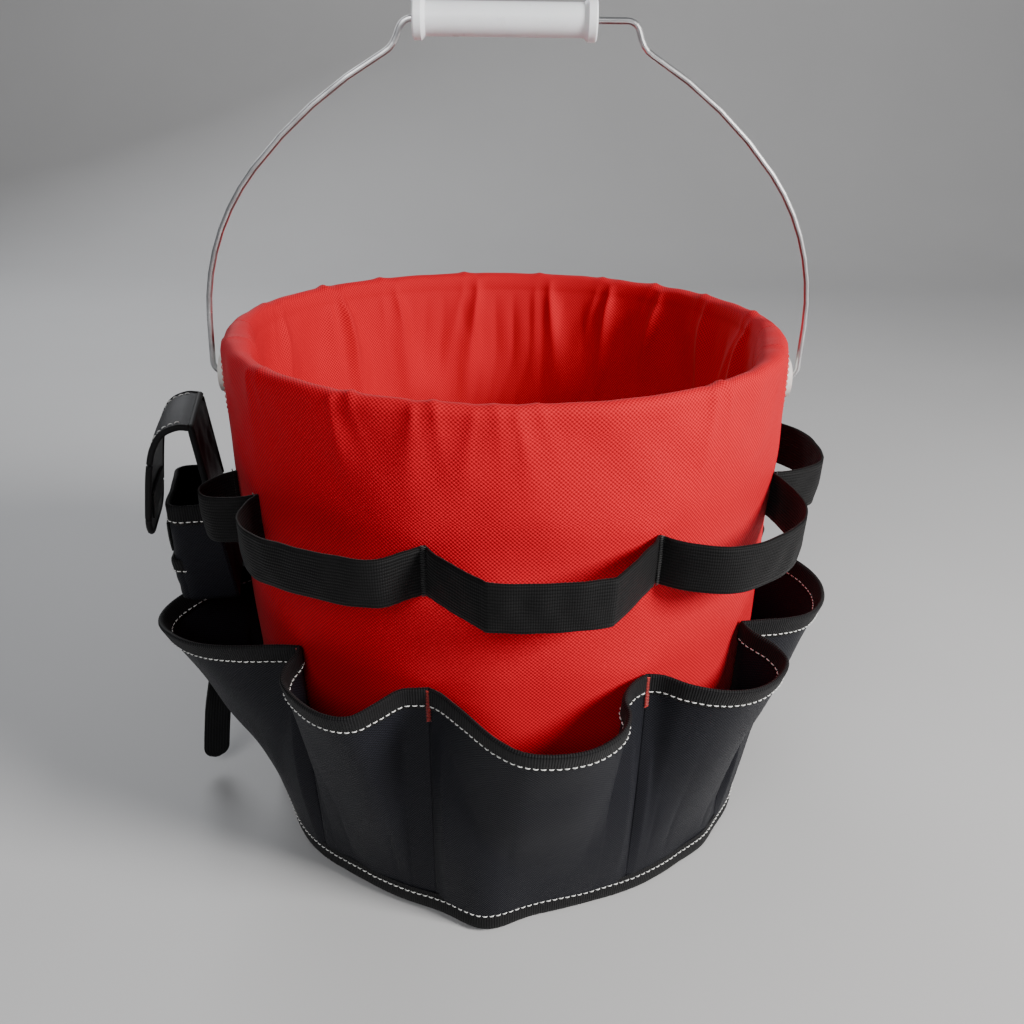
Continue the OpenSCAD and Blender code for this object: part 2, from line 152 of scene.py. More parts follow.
def plan_curve(plan, count):
    """Angles, stand-offs and length of a plan; the points are spaced by their true distance."""
    line = smooth_line(plan, 400)
    radius = MEAN_R + line[:, 1]
    flat = np.stack([radius * np.cos(np.radians(line[:, 0])), radius * np.sin(np.radians(line[:, 0]))], -1)
    along = np.concatenate([[0], np.cumsum(np.linalg.norm(np.diff(flat, axis=0), axis=1))])
    want = np.linspace(0, along[-1], count)
    return np.interp(want, along, line[:, 0]), np.interp(want, along, line[:, 1]), along[-1]


def normals_of(grid):
    """Unit normals of a grid of points, from its two directions."""
    du = np.gradient(grid, axis=1)
    dv = np.gradient(grid, axis=0)
    n = np.cross(du, dv)
    return n / np.maximum(np.linalg.norm(n, axis=-1, keepdims=True), 1e-9)


def ripples(u, v, seed):
    """Smooth seeded unevenness of about -1 to 1 over u and v."""
    waves = 7
    r = np.random.default_rng(seed)
    total = np.zeros(np.broadcast(u, v).shape)
    for _ in range(waves):
        fu, fv = r.uniform(0.6, 2.6, 2)
        total = total + np.sin(2 * math.pi * (fu * u + r.uniform(0, 1))) \
            * np.sin(2 * math.pi * (fv * v + r.uniform(0, 1)))
    return total / math.sqrt(waves)


def grid_uv(grid):
    """Texture coordinates of a grid, in metres along its two directions."""
    du = np.linalg.norm(np.diff(grid, axis=1), axis=-1).mean(axis=0)
    dv = np.linalg.norm(np.diff(grid, axis=0), axis=-1).mean(axis=1)
    u = np.concatenate([[0], np.cumsum(du)]) * MM
    v = np.concatenate([[0], np.cumsum(dv)]) * MM
    return np.stack(np.meshgrid(u, v), axis=-1)


def new_object(name, points, faces, material, uv=None):
    """Smooth-shaded mesh object from points in millimetres."""
    mesh = bpy.data.meshes.new(name)
    mesh.from_pydata((np.asarray(points, float) * MM).tolist(), [], [list(map(int, f)) for f in faces])
    if uv is not None:
        layer = mesh.uv_layers.new(name="cloth")
        loops = np.empty(len(mesh.loops), np.int32)
        mesh.loops.foreach_get("vertex_index", loops)
        layer.data.foreach_set("uv", np.asarray(uv, float).reshape(-1, 2)[loops].astype(np.float32).ravel())
    mesh.polygons.foreach_set("use_smooth", [True] * len(mesh.polygons))
    mesh.materials.append(material)
    mesh.validate()
    obj = bpy.data.objects.new(name, mesh)
    bpy.context.scene.collection.objects.link(obj)
    return obj


def grid_faces(rows, cols, wrap=False):
    """Quads of a rows by cols grid; wrap joins the last column to the first."""
    last = cols if wrap else cols - 1
    i, j = np.meshgrid(np.arange(rows - 1), np.arange(last), indexing="ij")
    k = (j + 1) % cols
    return np.stack([i * cols + j, i * cols + k, (i + 1) * cols + k, (i + 1) * cols + j], -1).reshape(-1, 4)


def sheet_object(name, grid, material, thick=0.0, offset=1.0, uv=None, wrap=False):
    """Cloth from a grid of points, made thick by a Solidify modifier."""
    rows, cols = grid.shape[:2]
    uv = grid_uv(grid) if uv is None else uv
    obj = new_object(name, grid.reshape(-1, 3), grid_faces(rows, cols, wrap), material, uv)
    if thick:
        solid = obj.modifiers.new("thickness", "SOLIDIFY")
        solid.thickness = thick * MM
        solid.offset = offset
        solid.use_even_offset = False
    return obj


def merged(parts):
    """One list of points and faces from several."""
    points, faces, count = [], [], 0
    for p, f in parts:
        points.append(p)
        faces += [[k + count for k in face] for face in f]
        count += len(p)
    return np.vstack(points), faces


def tube(path, radius, sides):
    """Points and faces of a round tube with closed ends; radius may vary along its path."""
    path = np.asarray(path, float)
    along = np.gradient(path, axis=0)
    along /= np.maximum(np.linalg.norm(along, axis=1, keepdims=True), 1e-9)
    side = np.cross(along, [0.0, 0.0, 1.0])
    weak = np.linalg.norm(side, axis=1) < 0.2
    side[weak] = np.cross(along[weak], [1.0, 0.0, 0.0])
    side /= np.linalg.norm(side, axis=1, keepdims=True)
    up = np.cross(side, along)
    turn = np.linspace(0, 2 * math.pi, sides, endpoint=False)
    r = np.broadcast_to(radius, len(path))[:, None, None]
    rings = path[:, None] + r * (np.cos(turn)[None, :, None] * side[:, None]
                                 + np.sin(turn)[None, :, None] * up[:, None])
    faces = [list(f) for f in grid_faces(len(path), sides, wrap=True)]
    faces.append(list(range(sides))[::-1])
    faces.append([(len(path) - 1) * sides + k for k in range(sides)])
    return rings.reshape(-1, 3), faces


def stitches(name, line, out, material, pitch=3.6, length=2.8, radius=0.30):
    """Row of lockstitches along a line, with out pointing off the cloth; each one dips at both ends."""
    line = np.asarray(line, float)
    size = np.linalg.norm(np.diff(line, axis=0), axis=1).sum()
    count = max(2, int(size / pitch))
    fine = resample(line, count * 8 + 1)
    out = np.stack([np.interp(np.linspace(0, 1, len(fine)), np.linspace(0, 1, len(out)), out[:, k])
                    for k in range(3)], -1)
    parts = []
    share = length / pitch
    for k in range(count):
        u = np.linspace(0, share, 6) * 8 + 8 * k
        whole = np.stack([np.interp(u, np.arange(len(fine)), fine[:, c]) for c in range(3)], -1)
        lift = np.stack([np.interp(u, np.arange(len(fine)), out[:, c]) for c in range(3)], -1)
        hump = np.array([-0.45, 0.12, 0.24, 0.24, 0.12, -0.45])
        sway = rng.normal(0, 0.06)
        along = whole[-1] - whole[0]
        cross = np.cross(along / max(np.linalg.norm(along), 1e-9), lift[0])
        parts.append(tube(whole + lift * hump[:, None] + cross * sway,
                          radius * np.array([0.5, 0.9, 1, 1, 0.9, 0.5]), sides=6))
    points, faces = merged(parts)
    return new_object(name, points, faces, material)


def zigzag(name, lines, outs, material, width, pitch=0.9, radius=0.32):
    """Bar tacks: a dense zigzag of thread along each line."""
    parts = []
    for path, lift in zip(lines, outs):
        path = np.asarray(path, float)
        size = np.linalg.norm(path[-1] - path[0])
        count = int(size / pitch)
        u = np.linspace(0, 1, count * 2 + 1)
        centre = path[0] + (path[-1] - path[0]) * u[:, None]
        across = np.cross((path[-1] - path[0]) / size, lift)
        swing = np.where(np.arange(len(u)) % 2 == 0, -1.0, 1.0)[:, None] * width / 2
        parts.append(tube(centre + across * swing + np.asarray(lift) * 0.2, radius, sides=6))
    points, faces = merged(parts)
    return new_object(name, points, faces, material)


# ---------- materials ----------

class Nodes:
    """Short hand for building one node material."""

    def __init__(self, name):
        self.material = bpy.data.materials.new(name)
        self.material.use_nodes = True
        self.tree = self.material.node_tree
        self.shader = self.tree.nodes["Principled BSDF"]

    def add(self, kind, **settings):
        """New node with its settings."""
        node = self.tree.nodes.new(kind)
        for key, value in settings.items():
            setattr(node, key, value)
        return node

    def link(self, a, b):
        self.tree.links.new(a, b)

    def math(self, operation, a, b=0.0):
        """Math node; each of a and b is a number or another node's output."""
        node = self.add("ShaderNodeMath", operation=operation)
        for socket, value in zip(node.inputs, (a, b)):
            if isinstance(value, (int, float)):
                socket.default_value = value
            else:
                self.link(value, socket)
        return node.outputs[0]

    def coords(self, kind="UV"):
        """Texture coordinates, as a vector and as its three parts."""
        node = self.add("ShaderNodeTexCoord")
        split = self.add("ShaderNodeSeparateXYZ")
        self.link(node.outputs[kind], split.inputs[0])
        return node.outputs[kind], split.outputs

    def noise(self, vector, scale, detail=3.0, roughness=0.55):
        node = self.add("ShaderNodeTexNoise")
        node.inputs["Scale"].default_value = scale
        node.inputs["Detail"].default_value = detail
        node.inputs["Roughness"].default_value = roughness
        self.link(vector, node.inputs["Vector"])
        return node.outputs["Fac"]

    def ramp(self, value, low, high, dark, light):
        """Maps low to high onto dark to light."""
        node = self.add("ShaderNodeMapRange")
        node.inputs["From Min"].default_value = low
        node.inputs["From Max"].default_value = high
        node.inputs["To Min"].default_value = dark
        node.inputs["To Max"].default_value = light
        self.link(value, node.inputs["Value"])
        return node.outputs["Result"]

    def mix(self, fac, a, b):
        node = self.add("ShaderNodeMix", data_type="RGBA")
        self.link(fac, node.inputs["Factor"])
        for socket, value in ((node.inputs[6], a), (node.inputs[7], b)):
            if isinstance(value, tuple):
                socket.default_value = (*value, 1.0)
            else:
                self.link(value, socket)
        return node.outputs[2]

    def bump(self, height, distance, strength=1.0, base=None):
        node = self.add("ShaderNodeBump")
        node.inputs["Distance"].default_value = distance
        node.inputs["Strength"].default_value = strength
        self.link(height, node.inputs["Height"])
        if base is not None:
            self.link(base, node.inputs["Normal"])
        return node.outputs[0]

    def wave(self, value, period):
        """Sine of a coordinate in metres, with a period in metres."""
        return self.math("SINE", self.math("MULTIPLY", value, 2 * math.pi / period))


def woven(name, dark, light, period, depth, roughness, sheen, worn=None, gloss=0.3):
    """Plain weave: yarns crossing over and under, with painted shade where the yarns dip, uneven dye and
    slight slubs.
    """
    n = Nodes(name)
    vector, (u, v, _) = n.coords()
    space, _ = n.coords("Object")
    slub = n.noise(vector, 260.0, 2.0)
    bend_u = n.math("ADD", u, n.math("MULTIPLY", n.math("SUBTRACT", slub, 0.5), period * 0.35))
    weave = n.math("MULTIPLY", n.wave(bend_u, period), n.wave(v, period))
    height = n.ramp(weave, -1.0, 1.0, 0.0, 1.0)
    cloud = n.noise(space, 9.0, 4.0)
    yarn = n.noise(vector, 900.0, 2.0)
    # colour is darker where the yarns dip: painted shade in the weave's gaps, times uneven dye and yarn
    # tone
    painted_shade_and_tone = n.math("MULTIPLY", n.ramp(height, 0.05, 0.85, 0.0, 1.0),
                   n.ramp(cloud, 0.25, 0.75, 0.72, 1.0))
    painted_shade_and_tone = n.math("MULTIPLY", painted_shade_and_tone, n.ramp(yarn, 0.3, 0.7, 0.86, 1.0))
    colour = n.mix(painted_shade_and_tone, dark, light)
    if worn is not None:
        wear = n.math("MULTIPLY", n.ramp(n.noise(space, 34.0, 5.0), 0.58, 0.8, 0.0, 0.35), height)
        colour = n.mix(wear, colour, worn)
    n.link(colour, n.shader.inputs["Base Color"])
    n.link(n.ramp(cloud, 0.2, 0.8, roughness - 0.07, roughness + 0.07), n.shader.inputs["Roughness"])
    crumple = n.bump(n.noise(space, 28.0, 4.0), 0.0016, 0.35)
    n.link(n.bump(height, depth, 0.9, crumple), n.shader.inputs["Normal"])
    n.shader.inputs["Sheen Weight"].default_value = sheen
    n.shader.inputs["Sheen Roughness"].default_value = 0.45
    n.shader.inputs["Specular IOR Level"].default_value = gloss
    return n.material


def ribbed(name, dark, light, rib, depth, roughness, along="u", cross=None, sheen=0.03):
    """Narrow woven tape or elastic: ribs in one direction and fine yarns in the other, with painted shade
    in the grooves between them.
    """
    n = Nodes(name)
    vector, (u, v, _) = n.coords()
    across, other = (u, v) if along == "u" else (v, u)
    ribs = n.ramp(n.wave(across, rib), -1.0, 1.0, 0.0, 1.0)
    yarns = n.ramp(n.wave(other, cross or rib * 0.6), -1.0, 1.0, 0.0, 1.0)
    height = n.math("ADD", n.math("MULTIPLY", ribs, 0.7), n.math("MULTIPLY", yarns, 0.3))
    fuzz = n.noise(vector, 1400.0, 2.0)
    # colour darkens in the grooves between ribs and yarns: painted shade, times random fuzz
    painted_shade_and_tone = n.math("MULTIPLY", height, n.ramp(fuzz, 0.3, 0.7, 0.7, 1.0))
    n.link(n.mix(painted_shade_and_tone, dark, light), n.shader.inputs["Base Color"])
    n.link(n.bump(height, depth, 1.0), n.shader.inputs["Normal"])
    n.shader.inputs["Roughness"].default_value = roughness
    n.shader.inputs["Sheen Weight"].default_value = sheen
    n.shader.inputs["Specular IOR Level"].default_value = 0.12
    return n.material


def thread(name, dark, light):
    """Twisted sewing thread."""
    n = Nodes(name)
    vector, _ = n.coords("Object")
    fibre = n.noise(vector, 2600.0, 2.0)
    n.link(n.mix(n.ramp(fibre, 0.3, 0.7, 0.0, 1.0), dark, light), n.shader.inputs["Base Color"])
    n.link(n.bump(fibre, 0.0002, 0.6), n.shader.inputs["Normal"])
    n.shader.inputs["Roughness"].default_value = 0.6
    n.shader.inputs["Sheen Weight"].default_value = 0.2
    return n.material


def moulded(name, colour, roughness, grain, scratch=0.3):
    """Moulded plastic with a fine grain, faint flow marks and scuffs."""
    n = Nodes(name)
    vector, _ = n.coords("Object")
    cloud = n.noise(vector, 14.0, 4.0)
    scuff = n.noise(vector, 160.0, 6.0, 0.7)
    dark = tuple(c * 0.88 for c in colour)
    n.link(n.mix(n.ramp(cloud, 0.3, 0.7, 0.0, 1.0), dark, colour), n.shader.inputs["Base Color"])
    n.link(n.ramp(scuff, 0.35, 0.75, roughness, roughness + scratch), n.shader.inputs["Roughness"])
    n.link(n.bump(n.noise(vector, grain, 3.0), 0.00006, 0.5), n.shader.inputs["Normal"])
    n.shader.inputs["Subsurface Weight"].default_value = 0.05
    return n.material


def galvanised(name):
    """Drawn zinc-coated wire: fine lengthwise lines, dull patches."""
    n = Nodes(name)
    vector, _ = n.coords("Object")
    patch = n.noise(vector, 60.0, 5.0)
    fine = n.noise(vector, 900.0, 3.0)
    n.link(n.mix(n.ramp(patch, 0.35, 0.7, 0.0, 1.0), (0.42, 0.42, 0.43), (0.72, 0.72, 0.73)),
           n.shader.inputs["Base Color"])
    n.link(n.ramp(patch, 0.3, 0.7, 0.42, 0.26), n.shader.inputs["Roughness"])
    n.link(n.bump(fine, 0.00004, 0.5), n.shader.inputs["Normal"])
    n.shader.inputs["Metallic"].default_value = 1.0
    return n.material


# the first colour of each woven cloth and tape shows in the gaps between its yarns, so it holds painted
# shade as well as the dye's own tone
RED = woven("red_oxford", (0.24, 0.0, 0.002), (0.76, 0.0, 0.018), 0.0019, 0.00020, 0.78, 0.03, gloss=0.14)
BLACK = woven("black_oxford", (0.0006, 0.0006, 0.0012), (0.0130, 0.0137, 0.0200), 0.0016, 0.00022, 0.50,
              0.02, worn=(0.02, 0.02, 0.025), gloss=0.12)
TAPE = ribbed("binding_tape", (0.0005, 0.0005, 0.0006), (0.0125, 0.0122, 0.0135), 0.0013, 0.00030, 0.62)
ELASTIC = ribbed("elastic_web", (0.0004, 0.0004, 0.0004), (0.0075, 0.0072, 0.0078), 0.0016, 0.00030, 0.6,
                 along="v", cross=0.0011)
WEBBING = ribbed("webbing", (0.001, 0.001, 0.001), (0.012, 0.012, 0.013), 0.0017, 0.0003, 0.6)
FUZZY = woven("hook_and_loop", (0.001, 0.001, 0.001), (0.010, 0.010, 0.011), 0.0012, 0.0004, 0.9, 0.25)
WHITE_THREAD = thread("white_thread", (0.55, 0.55, 0.53), (0.88, 0.88, 0.86))
RED_THREAD = thread("red_thread", (0.35, 0.01, 0.01), (0.75, 0.04, 0.03))
BLACK_THREAD = thread("black_thread", (0.004, 0.004, 0.004), (0.03, 0.03, 0.03))
PAIL = moulded("pail_polyethylene", (0.80, 0.79, 0.75), 0.42, 420.0)
GRIP = moulded("grip_plastic", (0.86, 0.87, 0.90), 0.26, 600.0, scratch=0.16)
WIRE = galvanised("galvanised_wire")


# ---------- camera, light and floor ----------

def make_camera():
    """Camera in front of the pail and a little above its rim, looking down on it."""
    pitch, roll, yaw = 0.41071, 0.012815, 0.0082823
    forward = Vector((math.sin(yaw) * math.cos(pitch), math.cos(yaw) * math.cos(pitch), -math.sin(pitch)))
    right = Vector((math.cos(yaw), -math.sin(yaw), 0.0))
    up = right.cross(forward)
    side = right * math.cos(roll) + up * math.sin(roll)
    top = up * math.cos(roll) - right * math.sin(roll)
    data = bpy.data.cameras.new("camera")
    data.lens = 36.1
    data.sensor_width = 36.0
    data.clip_start = 0.01
    camera = bpy.data.objects.new("camera", data)
    camera.matrix_world = Matrix((
        (side.x, top.x, -forward.x, 0.0),
        (side.y, top.y, -forward.y, -0.56827),
        (side.z, top.z, -forward.z, 0.42405),
        (0.0, 0.0, 0.0, 1.0),
    ))
    bpy.context.scene.collection.objects.link(camera)
    bpy.context.scene.camera = camera


def area_light(name, place, target, size, power, colour=(1.0, 1.0, 1.0)):
    """Round soft light that faces its target."""
    data = bpy.data.lights.new(name, "AREA")
    data.shape = "DISK"
    data.size = size
    data.energy = power
    data.color = colour
    light = bpy.data.objects.new(name, data)
    light.location = place
    light.rotation_euler = (Vector(target) - Vector(place)).to_track_quat("-Z", "Y").to_euler()
    bpy.context.scene.collection.objects.link(light)


def make_stage():
    """Pale floor that sweeps up behind, with soft studio light."""
    front_y, bend_y, bend_r, wall_h, half_w = -3000, 1600, 900, 3000, 5000
    profile = [(y, 0.0) for y in np.linspace(front_y, bend_y, 5, endpoint=False)]
    for a in np.linspace(0, math.pi / 2, 13):
        profile.append((bend_y + bend_r * math.sin(a), bend_r * (1 - math.cos(a))))
    profile += [(bend_y + bend_r, bend_r + h) for h in np.linspace(0, wall_h, 7)[1:]]
    rows = [[(x, y, z) for x in (-half_w, 0, half_w)] for y, z in profile]
    n = Nodes("pale_floor")
    vector, _ = n.coords("Object")
    n.link(n.mix(n.noise(vector, 3.0), (0.47, 0.47, 0.475), (0.52, 0.52, 0.525)),
           n.shader.inputs["Base Color"])
    n.shader.inputs["Roughness"].default_value = 0.55
    floor = sheet_object("floor", np.array(rows, float), n.material)
    world = bpy.data.worlds.new("studio")
    world.use_nodes = True
    world.node_tree.nodes["Background"].inputs["Color"].default_value = (0.86, 0.88, 0.92, 1.0)
    world.node_tree.nodes["Background"].inputs["Strength"].default_value = 0.20
    bpy.context.scene.world = world
    area_light("window", (1.36, -0.84, 1.0), (0, 0, 0.2), 0.6, 60.0, (1.0, 0.98, 0.95))
    area_light("front_fill", (-0.5, -1.7, 1.4), (0, 0, 0.15), 1.1, 15.0)
    area_light("back_fill", (-0.9, 1.6, 1.2), (0, 0, 0.15), 1.2, 14.0, (0.95, 0.97, 1.0))


make_camera()
make_stage()


# ---------- pail, bail and grip keep their CAD shapes ----------

def finish_node(node, material):
    """Gives a carried-over CAD node its material."""
    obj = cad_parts[node]
    obj.data.materials.clear()
    obj.data.materials.append(material)


finish_node("bucket_shell", PAIL)
finish_node("bail_wire", WIRE)
finish_node("bail_grip", GRIP)


# ---------- skirt and lining ----------

def crease(x):
    """Cross-section of a fold: a narrow ridge with soft feet."""
    return np.exp(-1.6 * (np.sqrt(x**2 + 0.06) - 0.245))


def gather(degrees):
    """How strongly the rim is gathered at each angle, from 0 to about 1."""
    return sum(size * crease(apart(degrees, angle) / 1.3) for angle, size in PLEATS)


def soft_folds(degrees, depth):
    """Folds that start narrow at the gathers (depth 0) and fan out and lean as they go on (depth 1)."""
    total = 0.0
    for k, (angle, size) in enumerate(PLEATS):
        lean = 7.0 * math.sin(2.3 * k + 1.0)
        away = apart(degrees, angle + lean * depth)
        total = total + size * crease(away / (1.3 + 10.0 * depth))
        total = total + 0.3 * size * crease((away - 4.0 - 6.0 * depth) / (1.2 + 8.0 * depth))
    return total


def tented(degrees):
    """Where the cloth bridges the lip beside the ears and turns down further in."""
    return np.exp(-(apart(degrees, -167) / 15) ** 2) + np.exp(-(apart(degrees, -13) / 15) ** 2)


def slot_half_angle(z):
    """Half opening of the ear slot at height z, as an angle."""
    end = np.where(z < SLOT_LOW, SLOT_LOW, np.where(z > SLOT_HIGH, SLOT_HIGH, z))
    return np.degrees(np.sqrt(np.maximum(SLOT_R**2 - (z - end) ** 2, 0)) / skirt_r(z))


COVER_COLS = 320
LINING_R, LINING_TOP_R, LINING_TAPER = 145.4, 145.0, 17.0
LINING_LEN = 219.5
FOLD_DEPTH, LIP_FOLD = 8.0, 2.8
LIP_END_R = 144.6
# the cover's way over the lip, as steps outwards and up from the rim
LIP_PROFILE = [
    (0, 0), (-0.5, 3.1), (-2.2, 5.5), (-4.4, 6.3), (-7.0, 5.9), (-9.6, 4.2), (-11.2, -0.5), (-11.4, -4.0),
]


def cover_outside(first):
    """One half of the cover from the hem to the lip; its ends bend round the ear slots."""
    heights = np.concatenate([
        np.linspace(HEM_Z, SLOT_LOW - SLOT_R, 42, endpoint=False),
        SLOT_LOW - SLOT_R * np.cos(np.linspace(0, math.pi / 2, 12, endpoint=False)),
        np.linspace(SLOT_LOW, SLOT_HIGH, 4, endpoint=False),
        SLOT_HIGH + SLOT_R * np.sin(np.linspace(0, math.pi / 2, 12)),
        np.linspace(SLOT_HIGH + SLOT_R, RIM_Z, 4)[1:],
    ])
    share = np.linspace(0, 1, COVER_COLS)[None, :]
    z = heights[:, None] + 0 * share
    near = np.exp(-share * 13) * (1 - share)
    far = np.exp(-(1 - share) * 13) * share
    angle = first + 180 * share + slot_half_angle(z) * (near - far)
    up = np.clip((z - 215) / 70, 0, 1)
    depth = np.clip((RIM_Z - z) / 85, 0, 1)
    around = np.abs(angle)
    r = base_r(angle, z) + 0.5 * ripples(around / 60, z / 140, 11)
    r = r + 0.6 * up * ripples(around / 25, z / 90, 12)
    r = r + (2.7 * soft_folds(angle, depth) - 1.5) * up**2 - 1.3 * gather(angle) * up**6
    return r, angle, z


def cover_grid(first):
    """One half of the cover: up the outside, over the lip and down inside in soft folds."""
    r, angle, z = cover_outside(first)
    top = first + 180 * np.linspace(0, 1, COVER_COLS)[None, :]
    outer = r[-1][None, :]
    wide = 1 + 0.75 * tented(top)
    bumps = 0.25 * ripples(top / 22, 0 * top, 13) - 0.35 * gather(top) + 1.1 * gather(top - 3.2)
    lip = smooth_line(LIP_PROFILE, 20)[1:]
    turned = np.clip(np.linspace(-0.9, 1, len(lip)), 0, 1)[:, None]
    over_r = outer + lip[:, :1] * wide * (outer - LIP_END_R) / -LIP_PROFILE[-1][0]
    over_r = over_r - LIP_FOLD * turned * soft_folds(top, 0)
    over_z = RIM_Z + lip[:, 1:] + bumps * np.clip(lip[:, 1:] / 5.6, 0, 1)
    depth = np.concatenate([np.linspace(0, 0.16, 20)[1:], np.linspace(0.16, 1, 44)[1:]])[:, None]
    inside_z = over_z[-1:] - LINING_LEN * depth + 0 * top
    wall = LINING_R - LINING_TAPER * (PAIL_H - inside_z) / PAIL_H
    reach = np.exp(-depth * 8)
    fold = FOLD_DEPTH * soft_folds(top, np.minimum(depth * 2.2, 1)) * np.exp(-depth * 1.1)
    around = np.abs(top)
    swell = 1.6 + 1.2 * ripples(around / 40, inside_z / 150, 21)
    swell = swell + 0.9 * np.abs(ripples(around / 14, inside_z / 160, 22))
    slope = (over_r[-1:] + LIP_FOLD * soft_folds(top, 0) - LINING_TOP_R) * reach
    start = np.exp(-depth * 22)
    inside_r = wall + slope - swell * (1 - start) - fold * (1 - (1 - LIP_FOLD / FOLD_DEPTH) * start)
    inside_r = np.minimum(inside_r, wall - 0.3 + np.maximum(slope, 0))
    return np.concatenate([
        polar(r, angle, z), polar(over_r, top, over_z), polar(inside_r, top, inside_z),
    ])


def make_cover():
    """Each half is one sheet: the skirt outside, folded over the lip, and the lining inside."""
    for half, first in (("front", -180.0), ("back", 0.0)):
        grid = cover_grid(first)
        cloth = sheet_object(f"cover_{half}_cloth", grid, RED, thick=0.9, offset=-1)
        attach(cloth, "bucket")
        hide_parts(f"skirt_{half}", f"liner_{half}")


def slot_outline(grow, count=90):
    """Points round an ear slot, as side distance and height."""
    arcs = [(SLOT_HIGH, 0, 180), (SLOT_LOW, 180, 360)]
    line = []
    for centre, a, b in arcs:
        for t in np.radians(np.linspace(a, b, 40)):
            line.append(((SLOT_R + grow) * math.cos(t), centre + (SLOT_R + grow) * math.sin(t)))
    line.append(line[0])
    return resample(np.array(line), count)


def make_slot_hems():
    """Turned and stitched edge round each ear slot."""
    for name, middle in (("right", 0.0), ("left", 180.0)):
        rings = []
        for grow, lift in ((0.0, -0.4), (-0.4, 0.5), (0.4, 1.3), (2.4, 1.6), (4.6, 1.3), (5.2, 0.3)):
            line = slot_outline(grow)
            angle = middle + np.degrees(line[:, 0] / SLOT_SKIRT_R)
            rings.append(polar(skirt_r(line[:, 1]) + lift, angle, line[:, 1]))
        hem = sheet_object(f"slot_hem_{name}", np.array(rings), RED)
        line = slot_outline(3.6)
        angle = middle + np.degrees(line[:, 0] / SLOT_SKIRT_R)
        row = polar(skirt_r(line[:, 1]) + 1.6, angle, line[:, 1])
        out = polar(1.0, angle, 0.0)
        sewn = stitches(f"slot_stitching_{name}", row, out, RED_THREAD, 3.2, 2.5, 0.26)
        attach(hem, "bucket")
        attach(sewn, "bucket")
        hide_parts("slot_hems")


# ---------- outer pockets ----------

# how far a pocket's slack stands out at mid height beside its left and its right seam;
# the first pair is for pockets 1, 3, 5, 7 and 9, and the second for the pockets between them
SEAM_STEPS = [(9.0, 8.0), (4.0, 0.0)]


def pocket_grid(index, rows=72, cols=116):
    """Outer pocket from hem to mouth: flat faces between folds that run down from the mouth's corners."""
    angle, off, _ = plan_curve(POCKET_MOUTHS[index], cols)
    s = np.linspace(0, 1, cols)[None, :]
    t = np.linspace(0, 1, rows)[:, None]
    angle = angle[None, :] + 0 * t
    rise = np.clip((t - 0.09) / 0.91, 0, None) ** 1.12
    body = np.sin(math.pi * s) ** 0.5 * np.sin(math.pi * np.clip(t, 0, 1)) ** 0.7
    off = off[None, :] * rise
    off = off + 0.9 * body * ripples(s * 1.2, t * 1.0, 40 + index)
    # small tucks where the slack is sewn into the hem
    for k, where in enumerate((0.16, 0.34, 0.68, 0.86)):
        spread = 0.02 + 0.05 * t
        tuck = crease((s - where - 0.05 * math.sin(3.0 * index + k) * t) / spread)
        off = off - 1.8 * tuck * np.exp(-t / 0.28) * (1 - np.exp(-t / 0.05))
    left, right = SEAM_STEPS[index % 2]
    middle = np.clip(np.sin(math.pi * t), 0, 1)
    step = left * (1 - s) + right * s
    step = step * np.clip(np.minimum(s, 1 - s) / 0.05, 0, 1) ** 0.8 * middle**1.2
    # the larger of the two, rounded where they cross
    off = np.maximum(0.5 * (off + step + np.sqrt((off - step) ** 2 + 1.5 * middle)), 0.0)
    run = PANEL_LEN * t
    z = HEM_Z + np.sqrt(np.maximum(run**2 - off**2, (0.35 * run) ** 2))
    return polar(base_r(angle, z) + 1.0 + off, angle, z)


def binding_grid(panel, normal, rows_used):
    """Tape folded over the mouth: up the outside, round the edge and down the inside."""
    edge, out = panel[-1], normal[-1]
    up = panel[-1] - panel[-2]
    up /= np.linalg.norm(up, axis=-1, keepdims=True)
    grid = []
    below = panel[-1 - rows_used:]
    lifts = normal[-1 - rows_used:]
    for k in range(rows_used + 1):
        grid.append(below[k] + lifts[k] * (0.9 if k else 0.55))
    for a in np.radians([30, 60, 90, 120, 150]):
        grid.append(edge + out * 0.9 * math.cos(a) + up * 1.3 * math.sin(a))
    for k in range(rows_used, -1, -1):
        grid.append(below[k] - lifts[k] * (1.2 if k else 0.9))
    return np.array(grid)


def make_pocket(index):
    """One outer pocket: its cloth, the bound mouth and the stitching on both sides."""
    name = index + 1
    panel = pocket_grid(index)
    normal = normals_of(panel)
    cloth = sheet_object(f"pocket_{name}_cloth", panel, BLACK, thick=0.9, offset=0)
    rows_used = int(round(BINDING_H / PANEL_LEN * (len(panel) - 1)))
    tape = sheet_object(f"pocket_{name}_binding", binding_grid(panel, normal, rows_used), TAPE, 0.35, 1)
    row = len(panel) - 1 - int(round(rows_used * 0.72))
    line = panel[row, 1:-1] + normal[row, 1:-1] * 1.35
    sewn = stitches(f"pocket_{name}_stitching", line, normal[row, 1:-1], WHITE_THREAD)
    inner = panel[row, 1:-1] - normal[row, 1:-1] * 1.6
    sewn_in = stitches(f"pocket_{name}_inner_stitching", inner, -normal[row, 1:-1], WHITE_THREAD)
    for piece, slot in ((cloth, "pocket_cloth"), (tape, "binding_tape"), (sewn, "binding_tape"),
                        (sewn_in, "binding_tape")):
        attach(piece, "bucket")
    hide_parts(f"pocket_{name}")
    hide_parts(f"pocket_binding_{name}")


# ---------- hem ----------

HEM_TAPE_R = 148.0


